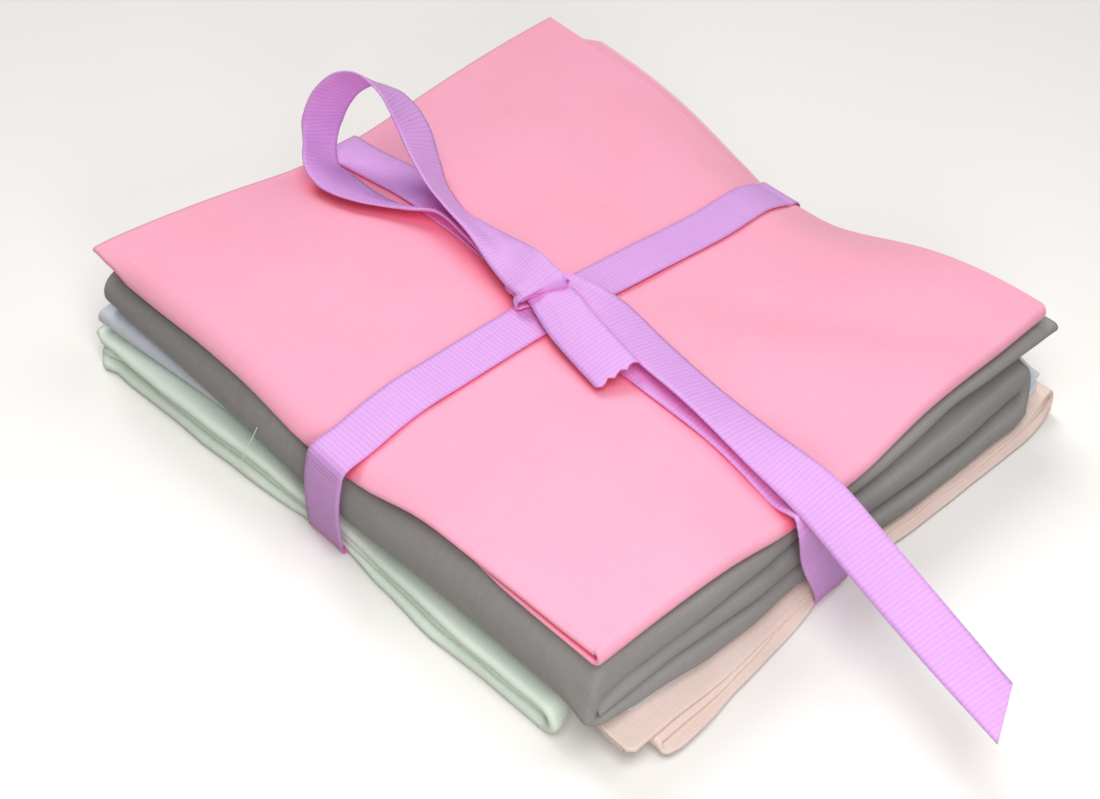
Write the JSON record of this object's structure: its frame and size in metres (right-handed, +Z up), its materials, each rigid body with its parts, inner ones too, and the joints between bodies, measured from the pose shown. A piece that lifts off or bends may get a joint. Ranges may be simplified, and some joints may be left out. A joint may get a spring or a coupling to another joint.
{
  "type": "stack of fat quarters",
  "caption": "Stack of folded quilting cottons in pastel colours, tied crosswise with a ribbed ribbon that ends in a looped bow and a long slant-cut tail.",
  "frame": {"origin": "on the surface that the stack lies on, under its middle, on the underside of the ribbon's crossing bands", "axes": "+Z up, +X along the cross band towards the ribbon's long tail, +Y along the long band towards the side that the ribbon draws in most"},
  "size_m": [0.2107, 0.1517, 0.0499],
  "materials": {
    "mint_cotton": "plain woven cotton, matte",
    "peach_cotton": "plain woven cotton, matte",
    "ice_cotton": "plain woven cotton, matte",
    "grey_cotton": "plain woven cotton, matte",
    "pink_cotton": "plain woven cotton, matte",
    "lilac_ribbon": "cross-ribbed ribbon with a soft sheen"
  },
  "bodies": {
    "root": {"fat_quarter_mint": "mint_cotton", "fat_quarter_peach": "peach_cotton", "fat_quarter_ice": "ice_cotton", "fat_quarter_grey": "grey_cotton", "fat_quarter_pink": "pink_cotton", "ribbon": "lilac_ribbon"}
  },
  "joints": []
}
